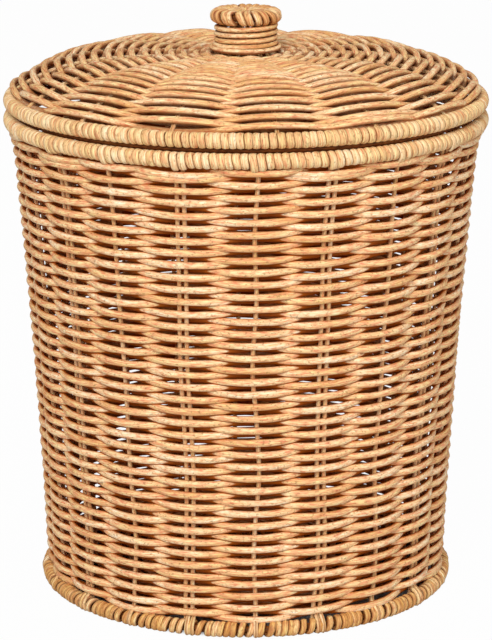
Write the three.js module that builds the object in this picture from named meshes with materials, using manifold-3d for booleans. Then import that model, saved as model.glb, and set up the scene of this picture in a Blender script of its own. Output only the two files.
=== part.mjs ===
// Round lidded basket of woven cane: a tapered body on a lapped foot, and a domed lid with a wrapped knob.
// Millimetres, +Z up. The origin is the centre of the underside of the foot.
import * as THREE from "three";
import { mergeVertices } from "three/addons/utils/BufferGeometryUtils.js";
import Module from "manifold-3d";

const wasm = await Module();
wasm.setup();

// Gap kept between pieces that rest on each other
const clearance = 0.3;

// Body: rim, foot and the wall between them
const rimOuterRadius = 150;
const rimHeight = 300.2;
const rimOverhang = 4.8;
const footOuterRadius = 130;
const footHeight = 9.5;
const footOverhang = 3;
const wallThickness = 10.2;
const wallBow = 7.7;
const wallLevels = 4;

// Lapped rings: a hoop in a split sleeve of binding
const hoopDiameter = 4.4;
const bindingRadius = 4.7;
const footBindingRadius = 5;
const bindingThickness = 1.3;
const ribDepth = 0.6;
const ribsPerStake = 2;
const ribsPerSpoke = 3;
const slitHalfAngle = THREE.MathUtils.degToRad(38);
const hoopSides = 4;
const bindingCorners = 6;
const boreCorners = 5;

// Stakes of the wall, single ones and pairs by turns
const stakeCount = 20;
const firstStake = THREE.MathUtils.degToRad(-87.4);
const stakeDiameter = 2.6;
const pairDiameter = 2.2;
const pairSpacing = 4;
const hairpinSteps = 3;
const rodSides = 4;
const grooveDraft = 0.4;

// Weave: rows of cane that stand out at one rod and lie back at the next
const caneDiameter = 4.2;
const coverOverRods = 1.3;
const wallRows = 75;
const wallStrands = 2;
const lidRows = 33;
const lidStrands = 1;
const lidFirstRow = 1.1;
const lidCalmWidth = 40;

// Base: a woven round over two crossed layers of sticks
const baseThickness = 11;
const baseEdgeGap = 0.8;
const baseSegments = 30;
const stickDiameter = 3;
const stickSides = 5;
const stickGap = 0.8;
const slathRadius = 18;

// Lid: dome, its edge and the ring that it sits on
const lidGap = 2.4;
const lidShoulder = 3.4;
const lidRise = 22.9;
const lidFlatness = 5;
const lidThickness = 9.8;
const lidSteps = 4;
const spokeCount = 15;
const firstSpoke = THREE.MathUtils.degToRad(-83);
const spokeDiameter = 2.6;
const spokeBendSteps = 2;
const seatInset = 3.8;
const seatSides = 5;
const seatSegments = 36;

// Knob: a coiled neck under a wrapped cap
const neckOuterRadius = 19.8;
const neckStrand = 2.9;
const neckPitch = 3.4;
const neckTurns = 4;
const neckFlare = 3;
const neckSteps = 16;
const neckSides = 6;
const capOverhang = 2.4;
const capRingWidth = 12.1;
const capHeight = 8.9;
const capWraps = 23;
const capStrand = 2.2;
const capSteps = 8;
const capSides = 5;
const crownDip = 1.5;
const coreSegments = 16;

// Colours of the cane, from the photograph
const canePale = { color: 0xe2b478, roughness: 0.55, metalness: 0 };
const caneHoney = { color: 0xd8a362, roughness: 0.6, metalness: 0 };
const caneBrown = { color: 0xb9824a, roughness: 0.65, metalness: 0 };

// Places that follow from the sizes above
const fullTurn = 2 * Math.PI;
const hoopRadius = hoopDiameter / 2;
const rimRadius = rimOuterRadius - bindingRadius;
const rimZ = rimHeight - bindingRadius;
const footRadius = footOuterRadius - footBindingRadius;
const footZ = footHeight - footBindingRadius;
const wallBottom = footHeight + clearance;
const wallTop = rimZ - bindingRadius - clearance;
const wallFootRadius = footOuterRadius - footOverhang - wallThickness / 2;
const wallRimRadius = rimOuterRadius - rimOverhang - wallThickness / 2;
const lidZ = rimHeight + lidGap + bindingRadius;
const lidCrown = lidZ + lidShoulder + lidRise;
const capOuterRadius = neckOuterRadius + capOverhang;
const capHoleRadius = capOuterRadius - capRingWidth;

// The body is turned to its first stake and the lid to its first spoke
const basket = new THREE.Group();
const body = new THREE.Group();
const lid = new THREE.Group();
body.rotation.z = firstStake;
lid.rotation.z = firstSpoke;
basket.add(body, lid);

// One named mesh with its own material
function addPiece(group, name, geometry, finish) {
  const mesh = new THREE.Mesh(geometry, new THREE.MeshStandardMaterial(finish));
  mesh.name = name;
  group.add(mesh);
}

function numbered(name, index) {
  return name + "_" + String(index + 1).padStart(2, "0");
}

// A point at a radius and height in the upright plane at an angle, moved sideways out of that plane
function polar(angle, radius, z, sideways = 0) {
  const x = radius * Math.cos(angle) - sideways * Math.sin(angle);
  const y = radius * Math.sin(angle) + sideways * Math.cos(angle);
  return new THREE.Vector3(x, y, z);
}

// A path that steps from point to point, turned halfway at each
class RodPath extends THREE.Curve {
  constructor(points) {
    super();
    this.points = points;
  }

  getPoint(t, target = new THREE.Vector3()) {
    const place = t * (this.points.length - 1);
    const index = Math.min(Math.floor(place), this.points.length - 2);
    return target.lerpVectors(this.points[index], this.points[index + 1], place - index);
  }

  getPointAt(u, target) {
    return this.getPoint(u, target);
  }

  getTangentAt(u, target = new THREE.Vector3()) {
    const last = this.points.length - 1;
    const index = Math.round(u * last);
    const here = this.points[index];
    const before = this.points[Math.max(index - 1, 0)];
    const after = this.points[Math.min(index + 1, last)];
    const arriving = new THREE.Vector3().subVectors(here, before).normalize();
    const leaving = new THREE.Vector3().subVectors(after, here).normalize();
    return target.addVectors(arriving, leaving).normalize();
  }
}

// A round rod along a list of points
function rod(points, diameter, sides) {
  const corners = [];
  for (let i = 0; i < sides; i += 1) {
    const angle = (fullTurn * i) / sides;
    corners.push(new THREE.Vector2(Math.cos(angle), Math.sin(angle)).multiplyScalar(diameter / 2));
  }
  return new THREE.ExtrudeGeometry(new THREE.Shape(corners), {
    steps: points.length - 1,
    bevelEnabled: false,
    extrudePath: new RodPath(points),
  });
}

// A closed skin round the axis over outlines that all have the same number of points
function ringSkin(outlines) {
  const size = outlines[0].length;
  const positions = outlines.flat().flatMap((point) => point.toArray());
  const corners = [];
  for (let i = 0; i < outlines.length; i += 1) {
    const here = i * size;
    const next = ((i + 1) % outlines.length) * size;
    for (let j = 0; j < size; j += 1) {
      const k = (j + 1) % size;
      corners.push(here + j, next + k, here + k);
      corners.push(here + j, next + j, next + k);
    }
  }
  const geometry = new THREE.BufferGeometry();
  geometry.setAttribute("position", new THREE.Float32BufferAttribute(positions, 3));
  geometry.setIndex(corners);
  geometry.computeVertexNormals();
  return geometry;
}

// Closed geometry as a solid that can be cut
function solidOf(geometry) {
  const bare = new THREE.BufferGeometry();
  bare.setAttribute("position", geometry.getAttribute("position"));
  bare.setIndex(geometry.index);
  const merged = mergeVertices(bare);
  const corners = [];
  for (let i = 0; i < merged.index.count; i += 3) {
    const [a, b, c] = merged.index.array.subarray(i, i + 3);
    if (a !== b && b !== c && c !== a) corners.push(a, b, c);
  }
  return new wasm.Manifold(
    new wasm.Mesh({
      numProp: 3,
      vertProperties: merged.getAttribute("position").array,
      triVerts: new Uint32Array(corners),
    }),
  );
}

function geometryOf(solid) {
  const mesh = solid.getMesh();
  const geometry = new THREE.BufferGeometry();
  geometry.setAttribute("position", new THREE.BufferAttribute(mesh.vertProperties, 3));
  geometry.setIndex(new THREE.BufferAttribute(mesh.triVerts, 1));
  geometry.computeVertexNormals();
  return geometry;
}

// Least gap between a strand's own turns, measured on points along it
function leastGap(points, diameter) {
  const pointsPerStep = 4;
  const ownLength = 3 * diameter;
  const dense = new RodPath(points).getSpacedPoints((points.length - 1) * pointsPerStep);
  const run = [0];
  for (let i = 1; i < dense.length; i += 1) run.push(run[i - 1] + dense[i].distanceTo(dense[i - 1]));
  let least = Infinity;
  for (let i = 0; i < dense.length; i += 1) {
    for (let j = i + 1; j < dense.length; j += 1) {
      if (run[j] - run[i] > ownLength) least = Math.min(least, dense[i].distanceTo(dense[j]));
    }
  }
  return least - diameter;
}

// Straight ends, one diameter long, on a wound strand
function withStraightEnds(points, diameter) {
  const last = points.length - 1;
  const lead = new THREE.Vector3().subVectors(points[0], points[1]).setLength(diameter);
  const tail = new THREE.Vector3().subVectors(points[last], points[last - 1]).setLength(diameter);
  return [points[0].clone().add(lead), ...points, points[last].clone().add(tail)];
}

// Middle of the wall at a height
function wallRadius(z) {
  const share = (z - wallBottom) / (wallTop - wallBottom);
  const straight = wallFootRadius + (wallRimRadius - wallFootRadius) * share;
  return straight - wallBow * share * (1 - share);
}

const wallHeights = [];
for (let i = 0; i < wallLevels; i += 1) {
  wallHeights.push(wallBottom + ((wallTop - wallBottom) * i) / (wallLevels - 1));
}

// Directions in which the stakes come into the lapped rings
const rimSlit = Math.atan2(wallTop - rimZ, wallRimRadius - rimRadius);
const footSlit = Math.atan2(wallBottom - footZ, wallFootRadius - footRadius);

// Angles round a split section from one lip of the slit to the other
function sectionAngles(slit, count) {
  const first = slit + slitHalfAngle;
  const span = fullTurn - 2 * slitHalfAngle;
  const angles = [];
  for (let i = 0; i < count; i += 1) angles.push(first + (span * i) / (count - 1));
  return angles;
}

// The same with two corners on the floor, where the foot is cut flat
const floorCorners = [2, 3];

function footAngles() {
  const first = footSlit + slitHalfAngle;
  const last = footSlit + fullTurn - slitHalfAngle;
  const down = 1.5 * Math.PI;
  const flat = Math.acos(footZ / footBindingRadius);
  const inner = down - flat;
  const outer = down + flat;
  return [first, (first + inner) / 2, inner, outer, (outer + last) / 2, last];
}

// Split sleeve of lapped cane: ribs stand up by turns all the way round
function lappedSleeve(radius, z, outsideRadius, outsideAngles, ribs, flatCorners = []) {
  const insideRadius = outsideRadius - bindingThickness;
  const insideAngles = sectionAngles(outsideAngles[0] - slitHalfAngle, boreCorners).reverse();
  const outlines = [];
  for (let i = 0; i < 2 * ribs; i += 1) {
    const around = (fullTurn * i) / (2 * ribs);
    const raised = outsideRadius - (i % 2) * ribDepth;
    const outside = outsideAngles.map((angle, corner) => {
      const reach = flatCorners.includes(corner) ? outsideRadius : raised;
      return polar(around, radius + reach * Math.cos(angle), z + reach * Math.sin(angle));
    });
    const inside = insideAngles.map((angle) =>
      polar(around, radius + insideRadius * Math.cos(angle), z + insideRadius * Math.sin(angle)),
    );
    outlines.push([...outside, ...inside]);
  }
  return ringSkin(outlines);
}

function hoop(radius, z, segments) {
  return new THREE.TorusGeometry(radius, hoopRadius, hoopSides, segments).translate(0, 0, z);
}

// A shell woven round rods: grooves let the rods in from its inner side
function groovedShell(rods, outside, inside, groove) {
  const outlines = [];
  rods.forEach(({ angle, halfWidth }, index) => {
    const next = index + 1 < rods.length ? rods[index + 1].angle : rods[0].angle + fullTurn;
    const lip = halfWidth + grooveDraft;
    const outline = (around, sideways, inner) => {
      const points = [...outside, ...inner.toReversed()];
      return points.map(([radius, z]) => polar(around, radius, z, sideways));
    };
    outlines.push(outline(angle, -lip, inside));
    outlines.push(outline(angle, -halfWidth, groove));
    outlines.push(outline(angle, halfWidth, groove));
    outlines.push(outline(angle, lip, inside));
    outlines.push(outline((angle + next) / 2, 0, inside));
  });
  return ringSkin(outlines);
}

// Body under a woven outside, closed on the axis at both ends. Every row climbs as it goes round, so that
// its strand is unbroken: after one turn it lies as many rows further on as there are strands
function wovenBody(rods, rows, strands, rowPoint, front, behind, axisEnds) {
  const spareRows = strands + 1;
  const levels = rows + spareRows + 2;
  const top = levels - 1;
  const stands = (i, level) => (i + level + spareRows) % 2 === 0;
  const positions = [];
  for (let i = 0; i < rods; i += 1) {
    for (let level = 0; level < levels; level += 1) {
      const row = level - spareRows + (strands * (i - 0.5)) / rods;
      const [radius, z] = rowPoint(row, stands(i, level) ? front : behind);
      positions.push(...polar((fullTurn * i) / rods, radius, z).toArray());
    }
  }
  const low = rods * levels;
  const high = low + 1;
  axisEnds.forEach((z) => positions.push(0, 0, z));
  const corner = (i, level) => (i < rods ? i * levels + level : level + strands);
  const corners = [];
  for (let i = 0; i < rods; i += 1) {
    const end = i + 1 < rods ? top : top - strands;
    for (let level = 0; level < end; level += 1) {
      const here = corner(i, level);
      const next = corner(i + 1, level);
      const nextUp = corner(i + 1, level + 1);
      const up = corner(i, level + 1);
      if (stands(i, level)) corners.push(here, next, up, next, nextUp, up);
      else corners.push(here, next, nextUp, here, nextUp, up);
    }
    corners.push(corner(i + 1, 0), corner(i, 0), low);
    corners.push(corner(i, end), corner(i + 1, end), high);
  }
  for (let level = 0; level < strands; level += 1) {
    corners.push(corner(0, level), corner(0, level + 1), low);
    corners.push(corner(rods - 1, top - level), corner(rods - 1, top - level - 1), high);
  }
  const geometry = new THREE.BufferGeometry();
  geometry.setAttribute("position", new THREE.Float32BufferAttribute(positions, 3));
  geometry.setIndex(corners);
  return geometry;
}

// Foot and rim: hoops and their lapped bindings
const bodyRibs = ribsPerStake * stakeCount;
const rimAngles = sectionAngles(rimSlit, bindingCorners);
const footSleeve = lappedSleeve(footRadius, footZ, footBindingRadius, footAngles(), bodyRibs, floorCorners);
const rimSleeve = lappedSleeve(rimRadius, rimZ, bindingRadius, rimAngles, bodyRibs);
addPiece(body, "foot_hoop", hoop(footRadius, footZ, bodyRibs), caneBrown);
addPiece(body, "foot_binding", footSleeve, caneHoney);
addPiece(body, "rim_hoop", hoop(rimRadius, rimZ, bodyRibs), caneBrown);
addPiece(body, "rim_binding", rimSleeve, canePale);

// Stakes: single rods, and pairs that are one rod bent double at the foot
const stakeEnd = hoopRadius + clearance;

function stakePoints(angle, sideways) {
  const wall = wallHeights.map((z) => polar(angle, wallRadius(z), z, sideways));
  const tipRadius = rimRadius + stakeEnd * Math.cos(rimSlit);
  return [...wall, polar(angle, tipRadius, rimZ + stakeEnd * Math.sin(rimSlit), sideways)];
}

function singleStake(angle) {
  const tipRadius = footRadius + stakeEnd * Math.cos(footSlit);
  const tip = polar(angle, tipRadius, footZ + stakeEnd * Math.sin(footSlit));
  return rod([tip, ...stakePoints(angle, 0)], stakeDiameter, rodSides);
}

function pairStake(angle) {
  const half = pairSpacing / 2;
  const legEnd = Math.hypot(wallBottom - footZ, wallFootRadius - footRadius);
  const reach = legEnd - stakeEnd - pairDiameter / 2;
  const bend = [];
  for (let i = 1; i < hairpinSteps; i += 1) {
    const turn = (Math.PI * i) / hairpinSteps;
    const out = legEnd - reach * Math.sin(turn);
    const radius = footRadius + out * Math.cos(footSlit);
    bend.push(polar(angle, radius, footZ + out * Math.sin(footSlit), -half * Math.cos(turn)));
  }
  const down = stakePoints(angle, -half).reverse();
  return rod([...down, ...bend, ...stakePoints(angle, half)], pairDiameter, rodSides);
}

const stakes = [];
for (let i = 0; i < stakeCount; i += 1) {
  const angle = (fullTurn * i) / stakeCount;
  const paired = i % 2 === 1;
  const index = Math.floor(i / 2);
  if (paired) addPiece(body, numbered("pair_stake", index), pairStake(angle), caneHoney);
  else addPiece(body, numbered("single_stake", index), singleStake(angle), caneHoney);
  const halfWidth = paired ? (pairSpacing + pairDiameter) / 2 : stakeDiameter / 2;
  stakes.push({ angle, halfWidth: halfWidth + clearance });
}

// Wall woven round the stakes: a shell that is cut back to the rows of the weave
const stakeReach = Math.max(stakeDiameter, pairDiameter) / 2 + clearance;
const wallOutside = wallHeights.map((z) => [wallRadius(z) + wallThickness, z]);
const wallInside = wallHeights.map((z) => [wallRadius(z) - wallThickness / 2, z]);
const wallGroove = wallHeights.map((z) => [wallRadius(z) + stakeReach, z]);
const wallShell = solidOf(groovedShell(stakes, wallOutside, wallInside, wallGroove));
const rowPitch = (wallTop - wallBottom - caneDiameter) / (wallRows - 1);

function wallRow(row, outwards) {
  const z = wallBottom + caneDiameter / 2 + rowPitch * row;
  return [wallRadius(z) + outwards, z];
}

const wallWeave = wovenBody(
  stakeCount,
  wallRows,
  wallStrands,
  wallRow,
  wallThickness / 2,
  stakeReach + coverOverRods,
  [0, lidZ],
);
addPiece(body, "wall_weave", geometryOf(wallShell.intersect(solidOf(wallWeave))), caneHoney);

// Base: sticks run side by side across the middle and fan out, the second layer square over the first
const baseRadius = wallFootRadius - wallThickness / 2 - baseEdgeGap;
const baseMiddle = wallBottom + baseThickness / 2;
const sticksPerLayer = Math.round(stakeCount / 4);
const layerOffset = (stickDiameter + clearance) / 2;

function stickPoints(layer, place, end) {
  const across = (layer * Math.PI) / 2;
  const fan = (place * fullTurn) / stakeCount;
  const beside = place * (stickDiameter + stickGap);
  const z = baseMiddle + (layer === 0 ? -layerOffset : layerOffset);
  const far = [end * Math.cos(fan), end * Math.sin(fan)];
  const outline = [[-far[0], far[1]], [-slathRadius, beside], [slathRadius, beside], far];
  return outline.map(([along, aside]) => polar(across, along, z, aside));
}

let baseSolid = solidOf(
  new THREE.LatheGeometry(
    [
      new THREE.Vector2(0, baseMiddle - baseThickness / 2),
      new THREE.Vector2(baseRadius, baseMiddle - baseThickness / 2),
      new THREE.Vector2(baseRadius, baseMiddle + baseThickness / 2),
      new THREE.Vector2(0, baseMiddle + baseThickness / 2),
    ],
    baseSegments,
  ).rotateX(Math.PI / 2),
);
for (let i = 0; i < 2 * sticksPerLayer; i += 1) {
  const layer = Math.floor(i / sticksPerLayer);
  const place = (i % sticksPerLayer) - (sticksPerLayer - 1) / 2;
  const stick = rod(stickPoints(layer, place, baseRadius), stickDiameter, stickSides);
  const tunnel = rod(
    stickPoints(layer, place, baseRadius + stickDiameter),
    stickDiameter + 2 * clearance,
    stickSides,
  );
  addPiece(body, numbered("base_stick", i), stick, caneBrown);
  baseSolid = baseSolid.subtract(solidOf(tunnel));
}
addPiece(body, "base_weave", geometryOf(baseSolid), caneHoney);

// Lid: the dome's middle surface and its normal in the upright plane
function domeMiddle(radius) {
  return lidCrown - lidRise * (radius / rimRadius) ** lidFlatness;
}

function domePoint(radius, outwards) {
  const fall = (lidRise * lidFlatness * radius ** (lidFlatness - 1)) / rimRadius ** lidFlatness;
  const length = Math.hypot(fall, 1);
  return [radius + (outwards * fall) / length, domeMiddle(radius) + outwards / length];
}

// The dome stops where its edge just clears the lapped ring
function domeEdge() {
  const step = 0.05;
  const places = [-0.5, -0.25, 0, 0.25, 0.5];
  let radius = rimRadius;
  const toRing = (place) => {
    const [r, z] = domePoint(radius, place * lidThickness);
    return Math.hypot(r - rimRadius, z - lidZ);
  };
  while (Math.min(...places.map(toRing)) < bindingRadius + clearance) radius -= step;
  return radius;
}

const domeEdgeRadius = domeEdge();
const neckRadius = neckOuterRadius - neckStrand / 2;
const domeBore = neckRadius + neckFlare - neckStrand / 2;
const domeRadii = [];
for (let i = 0; i <= lidSteps; i += 1) {
  const share = (i / lidSteps) ** 2;
  domeRadii.push(domeEdgeRadius - (domeEdgeRadius - domeBore) * share);
}
const lidSlit = Math.atan2(domeMiddle(domeEdgeRadius) - lidZ, domeEdgeRadius - rimRadius);

// Edge of the lid: a hoop and its lapped binding
const lidRibs = ribsPerSpoke * spokeCount;
const lidAngles = sectionAngles(lidSlit, bindingCorners);
const lidSleeve = lappedSleeve(rimRadius, lidZ, bindingRadius, lidAngles, lidRibs);
addPiece(lid, "lid_hoop", hoop(rimRadius, lidZ, lidRibs), caneBrown);
addPiece(lid, "lid_binding", lidSleeve, canePale);

// Ring in the hollow between the two rims, touching both
const rimsApart = (lidZ - rimZ) / 2;
const seatRadius = Math.hypot(seatInset, rimsApart) - bindingRadius - clearance;
const seatRing = new THREE.TorusGeometry(rimRadius - seatInset, seatRadius, seatSides, seatSegments);
addPiece(lid, "lid_seat_ring", seatRing.translate(0, 0, rimZ + rimsApart), caneHoney);

// Knob heights, from the dome upwards
const spokeReach = spokeDiameter / 2 + clearance;
const lidCover = spokeReach + coverOverRods;
const neckStart = domePoint(domeBore, lidCover)[1] + clearance + neckStrand / 2;
const capBottom = neckStart + neckTurns * neckPitch + neckStrand / 2 + clearance;
const capMiddle = capBottom + capHeight / 2;
const capTop = capBottom + capHeight;

// Spokes follow the dome in to the neck, turn up inside it and close in to the crown of the cap
const neckRodRadius = neckRadius - neckStrand / 2 - clearance - spokeDiameter / 2;
const crownRadius = capHoleRadius - clearance - spokeDiameter / 2;

function spokePoints(angle) {
  const end = hoopRadius + clearance;
  const outline = [[rimRadius + end * Math.cos(lidSlit), lidZ + end * Math.sin(lidSlit)]];
  domeRadii.forEach((radius) => outline.push(domePoint(radius, 0)));
  const bend = domeBore - neckRodRadius;
  const bendZ = domeMiddle(domeBore) + bend;
  for (let i = 1; i <= spokeBendSteps; i += 1) {
    const turn = (Math.PI * i) / (2 * spokeBendSteps);
    outline.push([domeBore - bend * Math.sin(turn), bendZ - bend * Math.cos(turn)]);
  }
  const leanTop = capBottom - spokeDiameter;
  outline.push([neckRodRadius, leanTop - (neckRodRadius - crownRadius)]);
  outline.push([crownRadius, leanTop]);
  outline.push([crownRadius, capTop - crownDip]);
  return outline.map(([radius, z]) => polar(angle, radius, z));
}

const spokes = [];
for (let i = 0; i < spokeCount; i += 1) {
  const angle = (fullTurn * i) / spokeCount;
  addPiece(lid, numbered("lid_spoke", i), rod(spokePoints(angle), spokeDiameter, rodSides), caneHoney);
  spokes.push({ angle, halfWidth: spokeDiameter / 2 + clearance });
}

// Dome woven round the spokes, from its edge in to the neck
const domeOutside = domeRadii.map((radius) => domePoint(radius, lidThickness));
const domeInside = domeRadii.map((radius) => domePoint(radius, -lidThickness / 2));
const domeGroove = domeRadii.map((radius) => domePoint(radius, spokeReach));
const domeShell = solidOf(groovedShell(spokes, domeOutside, domeInside, domeGroove));
const rowsFrom = domeEdgeRadius - lidFirstRow;
const rowsTo = domeBore + caneDiameter / 2;
const domeArc = new THREE.SplineCurve(
  Array.from({ length: lidRows }, (_, row) => {
    const radius = rowsFrom + ((rowsTo - rowsFrom) * row) / (lidRows - 1);
    return new THREE.Vector2(radius, domeMiddle(radius));
  }),
);

// Rows lie flat on the spokes round the neck. Past the first and the last row the outside goes on level
function lidRow(row, outwards) {
  const share = row / (lidRows - 1);
  const within = THREE.MathUtils.clamp(share, 0, 1);
  const beyond = (share - within) * domeArc.getLength();
  const middle = domeArc.getPointAt(within).x;
  const swing = THREE.MathUtils.smoothstep(middle, domeBore, domeBore + lidCalmWidth);
  const [radius, z] = domePoint(middle, lidCover + (outwards - lidCover) * swing);
  return [radius - beyond, z];
}

const lidWeave = wovenBody(
  spokeCount,
  lidRows,
  lidStrands,
  lidRow,
  lidThickness / 2,
  lidCover,
  [0, lidCrown],
);
addPiece(lid, "lid_weave", geometryOf(domeShell.intersect(solidOf(lidWeave))), caneHoney);

// Neck: one strand coiled upwards, wider in its first turn
function neckPoints() {
  const points = [];
  for (let i = 0; i <= neckTurns * neckSteps; i += 1) {
    const turn = i / neckSteps;
    const flare = neckFlare * Math.max(0, 1 - turn) ** 2;
    points.push(polar(fullTurn * turn, neckRadius + flare, neckStart + neckPitch * turn));
  }
  return withStraightEnds(points, neckStrand);
}

const neckPath = neckPoints();
addPiece(lid, "knob_coil", rod(neckPath, neckStrand, neckSides), canePale);
console.log("knob_coil least gap to itself", leastGap(neckPath, neckStrand).toFixed(2), "mm");

// Cap: one strand wound round a flat ring
const wrapInner = capHoleRadius + capStrand / 2;
const wrapOuter = capOuterRadius - capStrand / 2;
const wrapMiddle = (wrapInner + wrapOuter) / 2;
const wrapHalfWidth = (wrapOuter - wrapInner) / 2;
const wrapHalfHeight = (capHeight - capStrand) / 2;

function wrapPoints() {
  const points = [];
  for (let i = 0; i <= capWraps * capSteps; i += 1) {
    const turn = i / capSteps;
    const angle = fullTurn * turn - Math.PI / 2;
    const radius = wrapMiddle + wrapHalfWidth * Math.cos(angle);
    const z = capMiddle + wrapHalfHeight * Math.sin(angle);
    points.push(polar((fullTurn * turn) / (capWraps + 1), radius, z));
  }
  return withStraightEnds(points, capStrand);
}

const wrapPath = wrapPoints();
addPiece(lid, "knob_wrap", rod(wrapPath, capStrand, capSides), canePale);
console.log("knob_wrap least gap to itself", leastGap(wrapPath, capStrand).toFixed(2), "mm");

const chordShare = Math.cos(Math.PI / capSteps);
const coreHalfWidth = wrapHalfWidth * chordShare - capStrand / 2 - clearance;
const coreHalfHeight = wrapHalfHeight * chordShare - capStrand / 2 - clearance;
const coreOutline = [];
for (let i = 0; i <= capSteps; i += 1) {
  const angle = (fullTurn * i) / capSteps;
  const radius = wrapMiddle + coreHalfWidth * Math.cos(angle);
  coreOutline.push(new THREE.Vector2(radius, coreHalfHeight * Math.sin(angle)));
}
const capCore = new THREE.LatheGeometry(coreOutline, coreSegments).rotateX(Math.PI / 2);
addPiece(lid, "knob_ring", capCore.translate(0, 0, capMiddle), caneBrown);

export default basket;
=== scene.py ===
import math

import bpy
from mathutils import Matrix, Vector


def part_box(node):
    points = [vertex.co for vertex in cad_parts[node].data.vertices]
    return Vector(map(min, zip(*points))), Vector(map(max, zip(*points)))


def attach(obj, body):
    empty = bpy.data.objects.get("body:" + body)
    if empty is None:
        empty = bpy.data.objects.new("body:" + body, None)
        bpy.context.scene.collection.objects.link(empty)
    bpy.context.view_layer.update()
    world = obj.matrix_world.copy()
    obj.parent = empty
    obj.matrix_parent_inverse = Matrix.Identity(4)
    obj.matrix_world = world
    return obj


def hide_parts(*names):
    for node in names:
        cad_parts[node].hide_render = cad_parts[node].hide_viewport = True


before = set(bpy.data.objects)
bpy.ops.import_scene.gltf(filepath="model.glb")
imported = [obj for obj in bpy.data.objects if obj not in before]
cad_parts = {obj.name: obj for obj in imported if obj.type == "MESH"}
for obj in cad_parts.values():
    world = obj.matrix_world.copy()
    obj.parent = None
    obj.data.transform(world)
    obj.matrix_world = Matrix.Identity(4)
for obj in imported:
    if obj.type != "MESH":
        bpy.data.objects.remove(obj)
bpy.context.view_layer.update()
scene = bpy.context.scene
fullTurn = 2 * math.pi
mm = 0.001


# Adds a node, its settings and what goes into its sockets: a socket, a node's first output or a plain value
def addNode(tree, kind, inputs=(), **settings):
    node = tree.nodes.new(kind)
    for label, value in settings.items():
        setattr(node, label, value)
    for place, value in inputs.items() if isinstance(inputs, dict) else enumerate(inputs):
        if isinstance(value, bpy.types.Node):
            value = value.outputs[0]
        if isinstance(value, bpy.types.NodeSocket):
            tree.links.new(value, node.inputs[place])
        else:
            node.inputs[place].default_value = value
    return node


# sRGB hex to the linear colour that sockets take
def linear(hexColour):
    channels = [int(hexColour[i:i + 2], 16) / 255 for i in (1, 3, 5)]
    return [c / 12.92 if c <= 0.04045 else ((c + 0.055) / 1.055) ** 2.4 for c in channels] + [1]


# How noise is read as colour, and where the painted shade begins and ends on a strand, in every finish
cane = {"deepAt": 0.36, "honeyAt": 0.5, "paleAt": 0.64, "mottle": (0.43, 0.64), "fibre": (0.3, 0.7),
        "fleckFade": 0.12, "fleckPit": -0.6, "outwards": 0.25, "edgeWeight": -0.8, "recess": (-0.4, -0.5),
        "inside": (0.0, -0.5), "bump": 0.6, "bumpHeight": 0.2 * mm, "ior": 1.5, "specular": 0.18}


# Noise stretched along the strand: patches, mottles, fibres and flecks
def caneGrain(tree, finish, section):
    along = addNode(tree, "ShaderNodeAttribute", attribute_name="along").outputs["Fac"]
    grain = {}
    for label, (length, across, detail) in finish["grain"].items():
        run = addNode(tree, "ShaderNodeMath", [along, 1 / length], operation="MULTIPLY")
        end = addNode(tree, "ShaderNodeCombineXYZ", {"Z": run})
        place = addNode(tree, "ShaderNodeVectorMath", [section, [across] * 3, end], operation="MULTIPLY_ADD")
        grain[label] = addNode(tree, "ShaderNodeTexNoise", {"Vector": place, "Scale": 1.0, "Detail": detail})
    return grain


# Painted shade where a strand passes behind its neighbours, its edges before its middle, on the side turned
# in, and along the seams between strands
def canePaintedShade(tree, finish, section):
    inFront = addNode(tree, "ShaderNodeAttribute", attribute_name="front").outputs["Fac"]
    facing = addNode(tree, "ShaderNodeSeparateXYZ", [section]).outputs
    edge = addNode(tree, "ShaderNodeMath", [facing["Y"]], operation="ABSOLUTE")
    edgeSquared = addNode(tree, "ShaderNodeMath", [edge, edge], operation="MULTIPLY")
    outwards = addNode(tree, "ShaderNodeMapRange",
                       {"Value": facing["X"], "From Min": -cane["outwards"], "From Max": cane["outwards"],
                        "To Min": -1.0, "To Max": 1.0})
    side = addNode(tree, "ShaderNodeMath", [inFront, outwards], operation="MULTIPLY")
    openness = addNode(tree, "ShaderNodeMath", [edgeSquared, cane["edgeWeight"], side],
                       operation="MULTIPLY_ADD")
    recess = addNode(tree, "ShaderNodeMapRange",
                     {"Value": openness, "From Min": cane["recess"][0], "From Max": cane["recess"][1],
                      "To Min": 0.0, "To Max": finish["recessDepth"]})
    inside = addNode(tree, "ShaderNodeMapRange",
                     {"Value": facing["X"], "From Min": cane["inside"][0], "From Max": cane["inside"][1],
                      "To Min": 0.0, "To Max": finish["insideDepth"]})
    seam = addNode(tree, "ShaderNodeMapRange",
                   {"Value": edge, "From Min": finish["seamStart"], "From Max": 1.0,
                    "To Min": 0.0, "To Max": finish["seamDepth"]})
    hidden = addNode(tree, "ShaderNodeMath", [recess, inside], operation="MAXIMUM")
    return addNode(tree, "ShaderNodeMath", [hidden, seam], operation="MAXIMUM")
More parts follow.
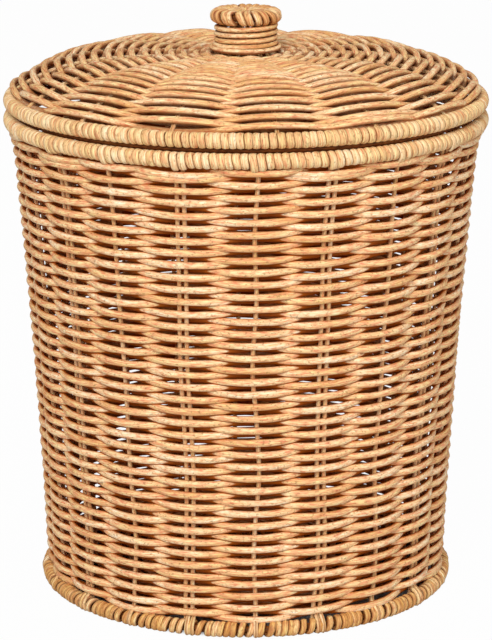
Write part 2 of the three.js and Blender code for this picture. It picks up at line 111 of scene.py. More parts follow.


# Round cane, scraped and dried: satin straw colour that changes along each strand, lines of fibre,
# small brown flecks where bark was left, and brown painted shade where strands lie close
def roundCane(name, finish):
    material = bpy.data.materials.new(name)
    material.use_nodes = True
    tree = material.node_tree
    shader = tree.nodes["Principled BSDF"]
    section = addNode(tree, "ShaderNodeAttribute", attribute_name="section").outputs["Vector"]
    grain = caneGrain(tree, finish, section)
    paintedShade = canePaintedShade(tree, finish, section)

    tints = addNode(tree, "ShaderNodeValToRGB", [grain["patch"]])
    stops = tints.color_ramp.elements
    stops[0].position, stops[0].color = cane["deepAt"], linear(finish["deep"])
    stops[1].position, stops[1].color = cane["paleAt"], linear(finish["pale"])
    stops.new(cane["honeyAt"]).color = linear(finish["honey"])

    # Sockets 6 and 7 of a colour mix are its two colours, and output 2 is the mix
    mottleShare = addNode(tree, "ShaderNodeMapRange",
                          {"Value": grain["mottle"], "From Min": cane["mottle"][0],
                           "From Max": cane["mottle"][1], "To Min": 0.0, "To Max": finish["mottleDepth"]})
    mottled = addNode(tree, "ShaderNodeMix",
                      {0: mottleShare, 6: tints, 7: linear(finish["rosy"])}, data_type="RGBA")
    fibreTint = addNode(tree, "ShaderNodeMapRange",
                        {"Value": grain["fibre"], "From Min": cane["fibre"][0], "From Max": cane["fibre"][1]})
    grained = addNode(tree, "ShaderNodeMix", {0: finish["fibreDepth"], 6: mottled.outputs[2], 7: fibreTint},
                      data_type="RGBA", blend_type="OVERLAY")
    fleckShare = addNode(tree, "ShaderNodeMapRange",
                         {"Value": grain["fleck"], "From Min": finish["fleckStart"],
                          "From Max": finish["fleckStart"] + cane["fleckFade"],
                          "To Min": 0.0, "To Max": finish["fleckDepth"]})
    flecked = addNode(tree, "ShaderNodeMix",
                      {0: fleckShare, 6: grained.outputs[2], 7: linear(finish["fleck"])}, data_type="RGBA")
    # Painted shade: the colour darkens towards a brown where the strand is hidden, turned in or in a seam
    withPaintedShade = addNode(tree, "ShaderNodeMix",
                      {0: paintedShade, 6: flecked.outputs[2], 7: linear(finish["paintedShade"])}, data_type="RGBA")
    tree.links.new(withPaintedShade.outputs[2], shader.inputs["Base Color"])

    rough = addNode(tree, "ShaderNodeMapRange",
                    {"Value": grain["fibre"], "From Min": cane["fibre"][0], "From Max": cane["fibre"][1],
                     "To Min": finish["rough"][0], "To Max": finish["rough"][1]})
    tree.links.new(rough.outputs[0], shader.inputs["Roughness"])
    relief = addNode(tree, "ShaderNodeMath", [fleckShare, cane["fleckPit"], grain["fibre"]],
                     operation="MULTIPLY_ADD")
    bump = addNode(tree, "ShaderNodeBump",
                   {"Strength": cane["bump"], "Distance": cane["bumpHeight"], "Height": relief})
    tree.links.new(bump.outputs[0], shader.inputs["Normal"])
    shader.inputs["IOR"].default_value = cane["ior"]
    shader.inputs["Specular IOR Level"].default_value = cane["specular"]    # dry and unvarnished
    return material


# Strands of the wall and the base, with a brown for painted shade. Grain: length along the strand, changes
# across it, and detail
wovenFinish = {"deep": "#E2AA6E", "honey": "#F2C690", "pale": "#F9D9AF", "rosy": "#E6AB7B",
               "fleck": "#8A5226", "paintedShade": "#B65A02",
               "grain": {"patch": (55 * mm, 0.25, 2.0), "mottle": (3.5 * mm, 1.1, 3.0),
                         "fibre": (6 * mm, 3.5, 2.0), "fleck": (1.8 * mm, 1.7, 1.0)},
               "mottleDepth": 0.8, "fibreDepth": 0.55, "fleckStart": 0.585, "fleckDepth": 0.5,
               "recessDepth": 0.96, "insideDepth": 0.75, "seamStart": 0.74, "seamDepth": 0.5,
               "rough": (0.55, 0.72)}
# Strand of the lid, a shade browner, with weaker painted shade because more light falls into its recesses
lidFinish = dict(wovenFinish, deep="#DEA568", honey="#EEC087", pale="#F8D5A8", rosy="#E0A777",
                 paintedShade="#924604", recessDepth=0.62)
# Lapping of the rims: even and clean, with painted shade in thin dark seams between the turns
lappedFinish = dict(wovenFinish, deep="#DDAF76", honey="#EAC38C", pale="#F4D5A8", mottleDepth=0.22,
                    fleckDepth=0.45, paintedShade="#965010", recessDepth=0.0, insideDepth=0.0, seamStart=0.76,
                    seamDepth=0.85)
# Knob: golden from handling, with painted shade deep in its seams
handledFinish = dict(wovenFinish, deep="#D59C5C", honey="#EABB7E", pale="#F8D8A8", rosy="#D89A66",
                     paintedShade="#803600", recessDepth=0.0, insideDepth=0.0, seamStart=0.62, seamDepth=0.95)
# Foot: darker all over, painted shade low down by the floor
footShadeFinish = dict(handledFinish, deep="#C98F4C", honey="#DEAE6B", pale="#EECB96", rosy="#CB8C56",
                     paintedShade="#703000")
# Stakes: paler and warmer than the strands, painted light that brightens them where the weave shades them
stakeFinish = dict(wovenFinish, deep="#F0B878", honey="#F8C88E", pale="#FFD9A8", mottleDepth=0.3,
                   fleckDepth=0.3, recessDepth=0.0, insideDepth=0.0, seamStart=0.85, seamDepth=0.3)
# Rods inside the lapping and under the base: dark brown, painted shade since they are only seen in shaded
# gaps
coreFinish = dict(wovenFinish, deep="#5E3211", honey="#6E3C17", pale="#7F4A20", rosy="#683814",
                  recessDepth=0.0, insideDepth=0.0, rough=(0.55, 0.75))
wovenCane = roundCane("round cane, woven", wovenFinish)
lidCane = roundCane("round cane, woven lid", lidFinish)
lappedCane = roundCane("round cane, lapped", lappedFinish)
stakeCane = roundCane("round cane, upright", stakeFinish)
handledCane = roundCane("round cane, smoothed by handling", handledFinish)
footShadeCane = roundCane("round cane, foot with painted shade", footShadeFinish)
coreCane = roundCane("round cane, bare rod", coreFinish)
print("materials ready")


def newTree(name, inputs, outputs):
    tree = bpy.data.node_groups.new(name, "GeometryNodeTree")
    for direction, sockets in (("INPUT", inputs), ("OUTPUT", outputs)):
        for label, kind in sockets.items():
            tree.interface.new_socket(label, in_out=direction, socket_type="NodeSocket" + kind)
    return tree, addNode(tree, "NodeGroupInput").outputs


# A strand of cane along curves, with its own length and section kept for the material
def strandGroup():
    nextStart = 0.731       # metres of grain between one strand and the next
    swellPace = 45.0        # noise places in a metre
    swellRange = (0.25, 0.75)
    tree, given = newTree(
        "cane strand",
        {"Curve": "Geometry", "Width": "Float", "Thickness": "Float", "Uneven": "Float", "Sides": "Int",
         "Seed": "Float", "Material": "Material"},
        {"Mesh": "Geometry"})
    length = addNode(tree, "GeometryNodeSplineParameter").outputs["Length"]
    which = addNode(tree, "GeometryNodeCurveOfPoint").outputs["Curve Index"]
    apart = addNode(tree, "ShaderNodeMath", [which, nextStart, given["Seed"]], operation="MULTIPLY_ADD")
    along = addNode(tree, "ShaderNodeMath", [length, apart], operation="ADD")
    marked = addNode(tree, "GeometryNodeStoreNamedAttribute",
                     {"Geometry": given["Curve"], "Name": "along", "Value": along}, data_type="FLOAT")

    circle = addNode(tree, "GeometryNodeCurvePrimitiveCircle", {"Resolution": given["Sides"], "Radius": 1.0})
    around = addNode(tree, "GeometryNodeInputPosition")
    section = addNode(tree, "GeometryNodeStoreNamedAttribute",
                      {"Geometry": circle, "Name": "section", "Value": around}, data_type="FLOAT_VECTOR")
    size = addNode(tree, "ShaderNodeCombineXYZ", {"X": given["Thickness"], "Y": given["Width"]})
    half = addNode(tree, "ShaderNodeVectorMath", {0: size, "Scale": 0.5}, operation="SCALE")
    oval = addNode(tree, "ShaderNodeVectorMath", [around, half], operation="MULTIPLY")
    profile = addNode(tree, "GeometryNodeSetPosition", {"Geometry": section, "Position": oval})

    # Thicker and thinner along its length
    pace = addNode(tree, "ShaderNodeMath", [along, swellPace], operation="MULTIPLY")
    swell = addNode(tree, "ShaderNodeTexNoise", {"W": pace, "Scale": 1.0, "Detail": 2.0},
                    noise_dimensions="1D")
    swing = addNode(tree, "ShaderNodeMapRange",
                    {"Value": swell, "From Min": swellRange[0], "From Max": swellRange[1],
                     "To Min": -1.0, "To Max": 1.0})
    scale = addNode(tree, "ShaderNodeMath", [swing, given["Uneven"], 1.0], operation="MULTIPLY_ADD")
    tube = addNode(tree, "GeometryNodeCurveToMesh",
                   {"Curve": marked, "Profile Curve": profile, "Scale": scale, "Fill Caps": True})
    smooth = addNode(tree, "GeometryNodeSetShadeSmooth", [tube])
    whole = addNode(tree, "GeometryNodeRealizeInstances", [smooth])
    finished = addNode(tree, "GeometryNodeSetMaterial", {"Geometry": whole, "Material": given["Material"]})
    addNode(tree, "NodeGroupOutput", [finished])
    return tree


# How far a stake stands from its even place, the same for the stake and for the weave round it
def driftGroup():
    levelPace = 9.0         # noise places in a metre of height, before the scale
    noiseScale = 1.7
    driftRange = (0.2, 0.8)
    tree, given = newTree("stake drift", {"Angle": "Float", "Height": "Float", "Amount": "Float"},
                          {"Shift": "Float"})
    x = addNode(tree, "ShaderNodeMath", [given["Angle"]], operation="COSINE")
    y = addNode(tree, "ShaderNodeMath", [given["Angle"]], operation="SINE")
    level = addNode(tree, "ShaderNodeMath", [given["Height"], levelPace], operation="MULTIPLY")
    place = addNode(tree, "ShaderNodeCombineXYZ", [x, y, level])
    noise = addNode(tree, "ShaderNodeTexNoise", {"Vector": place, "Scale": noiseScale, "Detail": 0.0})
    shift = addNode(tree, "ShaderNodeMapRange",
                    {"Value": noise, "From Min": driftRange[0], "From Max": driftRange[1],
                     "To Min": -1.0, "To Max": 1.0}, clamp=False)
    amount = addNode(tree, "ShaderNodeMath", [shift, given["Amount"]], operation="MULTIPLY")
    addNode(tree, "NodeGroupOutput", [amount])
    return tree


caneStrand = strandGroup()
stakeDrift = driftGroup()


# Points of a strand that goes round in turns, and the turn that each point has reached
def windingPoints(tree, given):
    count = addNode(tree, "ShaderNodeMath", [given["Turns"], given["Steps"], 1.0], operation="MULTIPLY_ADD")
    line = addNode(tree, "GeometryNodeCurvePrimitiveLine")
    points = addNode(tree, "GeometryNodeResampleCurve", {"Curve": line, "Count": count}, mode="COUNT")
    index = addNode(tree, "GeometryNodeInputIndex")
    turn = addNode(tree, "ShaderNodeMath", [index, given["Steps"]], operation="DIVIDE")
    return points, turn


# Sets points round the axis, and turns the flat side of their strand out and up
def placeRound(tree, points, cosine, sine, radius, height, facesOut, facesUp):
    x = addNode(tree, "ShaderNodeMath", [radius, cosine], operation="MULTIPLY")
    y = addNode(tree, "ShaderNodeMath", [radius, sine], operation="MULTIPLY")
    position = addNode(tree, "ShaderNodeCombineXYZ", [x, y, height])
    path = addNode(tree, "GeometryNodeSetPosition", {"Geometry": points, "Position": position})
    outX = addNode(tree, "ShaderNodeMath", [facesOut, cosine], operation="MULTIPLY")
    outY = addNode(tree, "ShaderNodeMath", [facesOut, sine], operation="MULTIPLY")
    outwards = addNode(tree, "ShaderNodeCombineXYZ", [outX, outY, facesUp])
    return addNode(tree, "GeometryNodeSetCurveNormal", {"Curve": path, "Normal": outwards}, mode="FREE")


# Ends a tree with the strand along its curves
def endWithStrand(tree, given, curve, width, thickness):
    strand = addNode(tree, "GeometryNodeGroup",
                     {"Curve": curve, "Width": width, "Thickness": thickness, "Uneven": given["Uneven"],
                      "Sides": given["Sides"], "Seed": given["Seed"], "Material": given["Material"]},
                     node_tree=caneStrand)
    addNode(tree, "NodeGroupOutput", [strand])
    return tree


# Length along the outline: rows wander together, and each lies a little loose on its neighbour
def rowPlace(tree, given, turn, cosine, sine):
    wanderPace = 28.0       # noise places in a metre along the outline, before the scale
    wanderScale = 2.0
    loosePace = 9.0         # noise places in a turn
    climb = addNode(tree, "ShaderNodeMath", [turn, given["Pitch"], given["Start"]], operation="MULTIPLY_ADD")
    even = addNode(tree, "ShaderNodeClamp", [climb, given["Lowest"], given["Highest"]])
    level = addNode(tree, "ShaderNodeMath", [even, wanderPace, given["Seed"]], operation="MULTIPLY_ADD")
    wanderPlace = addNode(tree, "ShaderNodeCombineXYZ", [cosine, sine, level])
    wander = addNode(tree, "ShaderNodeTexNoise", {"Vector": wanderPlace, "Scale": wanderScale, "Detail": 1.0})
    wanderShare = addNode(tree, "ShaderNodeMath", [wander, 0.5], operation="SUBTRACT")
    wandered = addNode(tree, "ShaderNodeMath", [wanderShare, given["Wander"], even], operation="MULTIPLY_ADD")
    loosePlace = addNode(tree, "ShaderNodeMath", [turn, loosePace, given["Seed"]], operation="MULTIPLY_ADD")
    loose = addNode(tree, "ShaderNodeTexNoise", {"W": loosePlace, "Scale": 1.0, "Detail": 3.0},
                    noise_dimensions="1D")
    looseShare = addNode(tree, "ShaderNodeMath", [loose, 0.5], operation="SUBTRACT")
    return addNode(tree, "ShaderNodeMath", [looseShare, given["Loose"], wandered], operation="MULTIPLY_ADD")


# 1 in front of a stake, -1 behind the next
def stakeWave(tree, given, angle, height):
    drift = addNode(tree, "GeometryNodeGroup", {"Angle": angle, "Height": height, "Amount": given["Drift"]},
                    node_tree=stakeDrift)
    fromStake = addNode(tree, "ShaderNodeMath", [angle, given["First stake"]], operation="SUBTRACT")
    undrifted = addNode(tree, "ShaderNodeMath", [fromStake, drift], operation="SUBTRACT")
    halfStakes = addNode(tree, "ShaderNodeMath", [given["Stakes"], 0.5], operation="MULTIPLY")
    swing = addNode(tree, "ShaderNodeMath", [undrifted, halfStakes, given["Phase"]], operation="MULTIPLY_ADD")
    return addNode(tree, "ShaderNodeMath", [swing], operation="COSINE")


# One strand wound round the axis along an outline, in front of and behind the stakes by turns
def weaveTree():
    tree, given = newTree(
        "plain weave",
        {"Geometry": "Geometry", "Strand": "Float", "Flattened": "Float", "Pitch": "Float", "Turns": "Float",
         "Start": "Float", "Lowest": "Float", "Highest": "Float", "Begin": "Float", "Stakes": "Int",
         "First stake": "Float", "Phase": "Float", "Depth": "Float", "Fullness": "Float", "Calm": "Float",
         "Calm from": "Float", "Calm to": "Float", "Drift": "Float", "Wander": "Float", "Loose": "Float",
         "Uneven": "Float", "Steps": "Int", "Sides": "Int", "Seed": "Float", "Material": "Material"},
        {"Geometry": "Geometry"})
    points, turn = windingPoints(tree, given)
    begin = addNode(tree, "ShaderNodeMath", [given["First stake"], given["Begin"]], operation="ADD")
    angle = addNode(tree, "ShaderNodeMath", [turn, fullTurn, begin], operation="MULTIPLY_ADD")
    cosine = addNode(tree, "ShaderNodeMath", [angle], operation="COSINE")
    sine = addNode(tree, "ShaderNodeMath", [angle], operation="SINE")
    outline = addNode(tree, "GeometryNodeMeshToCurve", [given["Geometry"]])
    along = rowPlace(tree, given, turn, cosine, sine)
    place = addNode(tree, "GeometryNodeSampleCurve", {"Curves": outline, "Length": along}, mode="LENGTH")
    middle = addNode(tree, "ShaderNodeSeparateXYZ", [place.outputs["Position"]]).outputs
    slope = addNode(tree, "ShaderNodeSeparateXYZ", [place.outputs["Tangent"]]).outputs

    # Bends are fuller than a plain wave, and shallower where the weave is calm
    wave = stakeWave(tree, given, angle, middle["Z"])
    square = addNode(tree, "ShaderNodeMath", [wave, wave], operation="MULTIPLY")
    short = addNode(tree, "ShaderNodeMath", [1.0, square], operation="SUBTRACT")
    fuller = addNode(tree, "ShaderNodeMath", [short, given["Fullness"], 1.0], operation="MULTIPLY_ADD")
    shaped = addNode(tree, "ShaderNodeMath", [wave, fuller], operation="MULTIPLY")
    calm = addNode(tree, "ShaderNodeMapRange",
                   {"Value": middle["X"], "From Min": given["Calm from"], "From Max": given["Calm to"],
                    "To Min": given["Calm"], "To Max": 1.0})
    depth = addNode(tree, "ShaderNodeMath", [calm, given["Depth"]], operation="MULTIPLY")
    out = addNode(tree, "ShaderNodeMath", [shaped, depth], operation="MULTIPLY")

    # The outline's own normal keeps a flattened strand flat on the stakes
    radius = addNode(tree, "ShaderNodeMath", [slope["Z"], out, middle["X"]], operation="MULTIPLY_ADD")
    drop = addNode(tree, "ShaderNodeMath", [slope["X"], out], operation="MULTIPLY")
    height = addNode(tree, "ShaderNodeMath", [middle["Z"], drop], operation="SUBTRACT")
    facesUp = addNode(tree, "ShaderNodeMath", [slope["X"], -1.0], operation="MULTIPLY")
    path = placeRound(tree, points, cosine, sine, radius, height, slope["Z"], facesUp)
    known = addNode(tree, "GeometryNodeStoreNamedAttribute",
                    {"Geometry": path, "Name": "front", "Value": wave}, data_type="FLOAT")
    thickness = addNode(tree, "ShaderNodeMath", [given["Strand"], given["Flattened"]], operation="MULTIPLY")
    return endWithStrand(tree, given, known, given["Strand"], thickness)


# Angle round the ring, spread a little at each stake, and the swing that starts anew at each stake
def lappingAngle(tree, given, turn):
    strayPace = 0.8         # noise places in a turn
    inTurn = addNode(tree, "ShaderNodeMath", [turn, fullTurn], operation="MULTIPLY")
    behind = addNode(tree, "ShaderNodeMath", [inTurn], operation="SINE")
    stepped = addNode(tree, "ShaderNodeMath", [behind, given["Upright"], turn], operation="MULTIPLY_ADD")
    share = addNode(tree, "ShaderNodeMath", [stepped, given["Turns"]], operation="DIVIDE")
    even = addNode(tree, "ShaderNodeMath", [share, fullTurn, given["First stake"]], operation="MULTIPLY_ADD")
    fromStake = addNode(tree, "ShaderNodeMath", [even, given["First stake"]], operation="SUBTRACT")
    swing = addNode(tree, "ShaderNodeMath", [fromStake, given["Stakes"]], operation="MULTIPLY")
    aside = addNode(tree, "ShaderNodeMath", [swing], operation="SINE")
    spread = addNode(tree, "ShaderNodeMath", [given["Spread"], given["Stakes"]], operation="DIVIDE")
    strayPlace = addNode(tree, "ShaderNodeMath", [turn, strayPace, given["Seed"]], operation="MULTIPLY_ADD")
    stray = addNode(tree, "ShaderNodeTexNoise", {"W": strayPlace, "Scale": 1.0, "Detail": 1.0},
                    noise_dimensions="1D")
    strayShare = addNode(tree, "ShaderNodeMath", [stray, 0.5], operation="SUBTRACT")
    strayed = addNode(tree, "ShaderNodeMath", [strayShare, given["Stray"], even], operation="MULTIPLY_ADD")
    angle = addNode(tree, "ShaderNodeMath", [aside, spread, strayed], operation="MULTIPLY_ADD")
    return angle, swing


# One strand lapped round a ring, let down a little at each stake
def lappingTree():
    dipSharpness = 12.0
    tree, given = newTree(
        "lapped ring",
        {"Geometry": "Geometry", "Radius": "Float", "Height": "Float", "Half width": "Float",
         "Half height": "Float", "Squareness": "Float", "Turns": "Float", "Width": "Float",
         "Thickness": "Float", "Stakes": "Int", "First stake": "Float", "Upright": "Float", "Spread": "Float",
         "Dip": "Float", "Stray": "Float", "Uneven": "Float", "Steps": "Int", "Sides": "Int", "Seed": "Float",
         "Material": "Material"},
        {"Geometry": "Geometry"})
    points, turn = windingPoints(tree, given)
    angle, swing = lappingAngle(tree, given, turn)
    around = addNode(tree, "ShaderNodeMath", [turn, fullTurn, math.pi], operation="MULTIPLY_ADD")
    up = addNode(tree, "ShaderNodeMath", [around], operation="SINE")
    out = addNode(tree, "ShaderNodeMath", [around], operation="COSINE")
    squared = []
    for part in (up, out):
        size = addNode(tree, "ShaderNodeMath", [part], operation="ABSOLUTE")
        bulged = addNode(tree, "ShaderNodeMath", [size, given["Squareness"]], operation="POWER")
        sign = addNode(tree, "ShaderNodeMath", [part], operation="SIGN")
        squared.append(addNode(tree, "ShaderNodeMath", [bulged, sign], operation="MULTIPLY"))

    # Turns next to a stake reach further down
    near = addNode(tree, "ShaderNodeMath", [swing], operation="COSINE")
    nearOnly = addNode(tree, "ShaderNodeMath", [near, 0.0], operation="MAXIMUM")
    pulse = addNode(tree, "ShaderNodeMath", [nearOnly, dipSharpness], operation="POWER")
    below = addNode(tree, "ShaderNodeMath", [up, 0.0], operation="MINIMUM")
    dip = addNode(tree, "ShaderNodeMath", [pulse, given["Dip"]], operation="MULTIPLY")
    level = addNode(tree, "ShaderNodeMath", [squared[0], given["Half height"], given["Height"]],
                    operation="MULTIPLY_ADD")
    height = addNode(tree, "ShaderNodeMath", [below, dip, level], operation="MULTIPLY_ADD")
    radius = addNode(tree, "ShaderNodeMath", [squared[1], given["Half width"], given["Radius"]],
                     operation="MULTIPLY_ADD")
    cosine = addNode(tree, "ShaderNodeMath", [angle], operation="COSINE")
    sine = addNode(tree, "ShaderNodeMath", [angle], operation="SINE")
    path = placeRound(tree, points, cosine, sine, radius, height, out, up)
    return endWithStrand(tree, given, path, given["Width"], given["Thickness"])


# Copies of one path turned round the axis
def rodsTree():
    tree, given = newTree(
        "cane rods",
        {"Geometry": "Geometry", "Count": "Int", "First": "Float", "Step": "Float", "Drift": "Float",
         "Width": "Float", "Uneven": "Float", "Sides": "Int", "Seed": "Float", "Material": "Material"},
        {"Geometry": "Geometry"})
    path = addNode(tree, "GeometryNodeMeshToCurve", [given["Geometry"]])
    copies = addNode(tree, "GeometryNodeDuplicateElements", {"Geometry": path, "Amount": given["Count"]},
                     domain="SPLINE")
    even = addNode(tree, "ShaderNodeMath", [copies.outputs["Duplicate Index"], given["Step"], given["First"]],
                   operation="MULTIPLY_ADD")
    position = addNode(tree, "GeometryNodeInputPosition")
    height = addNode(tree, "ShaderNodeSeparateXYZ", [position]).outputs["Z"]
    drift = addNode(tree, "GeometryNodeGroup", {"Angle": even, "Height": height, "Amount": given["Drift"]},
                    node_tree=stakeDrift)
    angle = addNode(tree, "ShaderNodeMath", [even, drift], operation="ADD")
    turned = addNode(tree, "ShaderNodeVectorRotate", {"Vector": position, "Angle": angle},
                     rotation_type="Z_AXIS")
    placed = addNode(tree, "GeometryNodeSetPosition", {"Geometry": copies, "Position": turned})
    return endWithStrand(tree, given, placed, given["Width"], given["Width"])


plainWeave = weaveTree()
lappedRing = lappingTree()
caneRods = rodsTree()
print("trees ready")


# Runs a tree over a path and keeps the result as a plain mesh on its body
def makePiece(name, tree, sizes, path, body, nodes, closed=False):
    mesh = bpy.data.meshes.new(name)
    edges = [(i, i + 1) for i in range(len(path) - 1)]
    if closed:
        edges.append((len(path) - 1, 0))
    mesh.from_pydata(path, edges, [])
    piece = bpy.data.objects.new(name, mesh)
    scene.collection.objects.link(piece)
    strands = piece.modifiers.new("strands", "NODES")
    strands.node_group = tree
    for socket in tree.interface.items_tree:
        if socket.in_out == "INPUT" and socket.name in sizes:
            strands[socket.identifier] = sizes[socket.name]
    depsgraph = bpy.context.evaluated_depsgraph_get()
    made = bpy.data.meshes.new_from_object(piece.evaluated_get(depsgraph), preserve_all_data_layers=True,
                                           depsgraph=depsgraph)
    piece.modifiers.remove(strands)
    piece.data = made
    made.name = name
    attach(piece, body)
    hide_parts(*nodes)
    print(name, len(made.polygons), "faces")


# Outer radius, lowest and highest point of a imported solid
def reach(node):
    low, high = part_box(node)
    return max(high.x, high.y), low.z, high.z


def numbered(name, count):
    return [f"{name}_{i:02d}" for i in range(1, count + 1)]


def evenly(first, last, steps):
    return [first + (last - first) * i / steps for i in range(steps + 1)]


def runLength(path):
    return sum((Vector(b) - Vector(a)).length for a, b in zip(path, path[1:]))


def ringPath(radius, z, count):
    angles = [fullTurn * i / count for i in range(count)]
    return [(radius * math.cos(a), radius * math.sin(a), z) for a in angles]


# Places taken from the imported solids, whose rims and foot have these half thicknesses
tube = 4.7 * mm
footTube = 5 * mm
rimOuter, _, rimTop = reach("rim_binding")
footOuter, _, footTop = reach("foot_binding")
lidOuter, _, lidEdgeTop = reach("lid_binding")
_, wallLow, wallTop = reach("wall_weave")
baseOuter, baseLow, baseTop = reach("base_weave")
_, capLow, capTop = reach("knob_wrap")
rimRadius, rimHeight = rimOuter - tube, rimTop - tube
footRadius, footHeight = footOuter - footTube, footTop - footTube
lidRadius, lidHeight = lidOuter - tube, lidEdgeTop - tube

# Stakes stand evenly round the wall, single and paired by turns, and spokes evenly round the lid
stakes = 20
stakesOfAKind = stakes // 2
spacing = fullTurn / stakes
firstStake = math.radians(-87.4)
spokes = 15
firstSpoke = math.radians(-83)

# Middle of the wall: tapered, hollow by a little between foot and rim, and opening under the rim
wallShape = {"foot": 121.9 * mm, "rim": 140.1 * mm, "bow": 7.7 * mm, "flare": 1.8 * mm, "flareFrom": 0.92}


def wallRadius(z):
    share = (z - wallLow) / (wallTop - wallLow)
    straight = wallShape["foot"] + (wallShape["rim"] - wallShape["foot"]) * share
    opened = max(0, (share - wallShape["flareFrom"]) / (1 - wallShape["flareFrom"]))
    return straight - wallShape["bow"] * share * (1 - share) + wallShape["flare"] * opened ** 2


# Wall: two strands chase each other up the wall
wall = {"Strand": 4.4 * mm, "Flattened": 0.9, "Rows": 75, "low edge": 1.3 * mm, "top edge": 2.1 * mm,
        "spare": 1.5 * mm, "aside": 1.8 * mm, "outline steps": 60, "Stakes": stakes,
        "First stake": firstStake, "Depth": 3.2 * mm, "Fullness": 0.3, "Calm": 1.0,
        "Drift": math.radians(1.2), "Wander": 2.0 * mm, "Loose": 1.4 * mm, "Uneven": 0.12, "Steps": 160,
        "Sides": 9, "Material": wovenCane}
lowRow = wallLow + wall["low edge"]
topRow = wallTop - wall["top edge"]
wallOutline = [(wallRadius(z), 0, z)
               for z in evenly(lowRow - wall["spare"], topRow + wall["spare"], wall["outline steps"])]
wallRun = runLength(wallOutline)
rowPitch = (wallRun - 2 * wall["spare"]) / (wall["Rows"] - 1)
for i, (name, seed) in enumerate((("wall_weaver_a", 3.0), ("wall_weaver_b", 8.0))):
    levelTurns = 1 + (1 - i) * 0.5     # along the foot and under the rim
    weaver = dict(wall, Pitch=2 * rowPitch, Start=wall["spare"] - 2 * rowPitch * (1 - i),
                  Begin=math.pi / stakes + i * math.pi, Lowest=wall["spare"] + i * wall["aside"],
                  Highest=wallRun - wall["spare"] - i * wall["aside"], Phase=i * math.pi, Seed=seed,
                  Turns=(wall["Rows"] - 1) / 2 + levelTurns)
    makePiece(name, plainWeave, weaver, wallOutline, "basket", ["wall_weave"])

# Stakes: ten single rods and ten pairs, by turns
stake = {"single": 2.8 * mm, "double": 2.7 * mm, "apart": 4.3 * mm, "below": 4 * mm, "above": 2 * mm,
         "path steps": 40, "Count": stakesOfAKind, "Step": 2 * spacing, "Drift": wall["Drift"],
         "Uneven": 0.04, "Sides": 8, "Material": stakeCane}
upright = [(wallRadius(z), 0, z)
           for z in evenly(wallLow - stake["below"], wallTop + stake["above"], stake["path steps"])]
makePiece("single_stakes", caneRods, dict(stake, First=firstStake, Width=stake["single"], Seed=11.0),
          upright, "basket", numbered("single_stake", stakesOfAKind))
for side, name, seed in ((-0.5, "pair_stakes_left", 16.5), (0.5, "pair_stakes_right", 17.5)):
    leg = [(x, side * stake["apart"], z) for x, _, z in upright]
    makePiece(name, caneRods, dict(stake, First=firstStake + spacing, Width=stake["double"], Seed=seed),
              leg, "basket", numbered("pair_stake", stakesOfAKind))

# Rim of the body and edge of the lid: a rod lapped in close turns, which need no path of their own
noPath = [(0, 0, 0), (0, 0, mm)]
hoopPoints = 120
hoop = {"Count": 1, "First": 0.0, "Step": 0.0, "Drift": 0.0, "Width": 4.4 * mm, "Uneven": 0.0, "Sides": 10,
        "Seed": 23.0, "Material": coreCane}
lappingInset = {"wide": 1.3 * mm, "high": 1.15 * mm}
lapping = {"Half width": tube - lappingInset["wide"], "Half height": tube - lappingInset["high"],
           "Squareness": 1.0, "Turns": 200.0, "Width": 4.9 * mm, "Thickness": 2.5 * mm, "Upright": 0.34,
           "Spread": 0.05, "Dip": 2.6 * mm, "Stray": 0.006, "Uneven": 0.05, "Steps": 22, "Sides": 8,
           "Material": lappedCane}
makePiece("rim_core", caneRods, hoop, ringPath(rimRadius, rimHeight, hoopPoints), "basket",
          ["rim_hoop"], True)
rimLapping = dict(lapping, Radius=rimRadius, Height=rimHeight, Stakes=stakes, Seed=31.0,
                  **{"First stake": firstStake})
makePiece("rim_lapping", lappedRing, rimLapping, noPath, "basket", ["rim_binding"])
makePiece("lid_core", caneRods, hoop, ringPath(lidRadius, lidHeight, hoopPoints), "lid",
          ["lid_hoop"], True)
lidLapping = dict(lapping, Radius=lidRadius, Height=lidHeight, Stakes=spokes, Upright=0.28, Dip=0.0,
                  Seed=37.0, **{"First stake": firstSpoke})
makePiece("lid_lapping", lappedRing, lidLapping, noPath, "lid", ["lid_binding"])

# Foot: the same, looser, the turns a little outside and above their rod
foot = {"inset": 1.4 * mm, "outset": 0.6 * mm, "lift": 0.4 * mm}
footHalf = footTube - foot["inset"]
footLapping = dict(lapping, Radius=footRadius + foot["outset"], Height=footHeight + foot["lift"],
                   Stakes=stakes, Turns=170.0, Width=4.2 * mm, Upright=0.0, Spread=0.3, Dip=0.0, Stray=0.02,
                   Uneven=0.1, Seed=41.0, Material=footShadeCane,
                   **{"Half width": footHalf, "Half height": footHalf, "First stake": firstStake})
makePiece("foot_core", caneRods, hoop, ringPath(footRadius, footHeight, hoopPoints), "basket",
          ["foot_hoop"], True)
makePiece("foot_lapping", lappedRing, footLapping, noPath, "basket", ["foot_binding"])

# Stake ends come down over the outside of the foot: outwards from its ring and up from the floor, in mm
tail = {"Step": 2 * spacing, "Count": stakesOfAKind, "Drift": 0.0, "Uneven": 0.06, "Sides": 8,
        "Material": lappedCane, "Width": 2.9 * mm, "aside": 1.6 * mm,
        "bend": ((-2.3, 16), (-1.9, 13.5), (-0.5, 11.2), (1.9, 9.3), (3.6, 7.4), (4.4, 5.2), (4.1, 3.2),
                 (2.9, 1.8), (1.1, 1.6))}
for name, first, side, seed in (("foot_tails_single", firstStake, 0, 90.0),
                                ("foot_tails_left", firstStake + spacing, -1, 88.4),
                                ("foot_tails_right", firstStake + spacing, 1, 91.6)):
    tailPath = [(footRadius + out * mm, side * tail["aside"], up * mm) for out, up in tail["bend"]]
    makePiece(name, caneRods, dict(tail, First=first, Seed=seed), tailPath, "basket",
              ["foot_binding"])

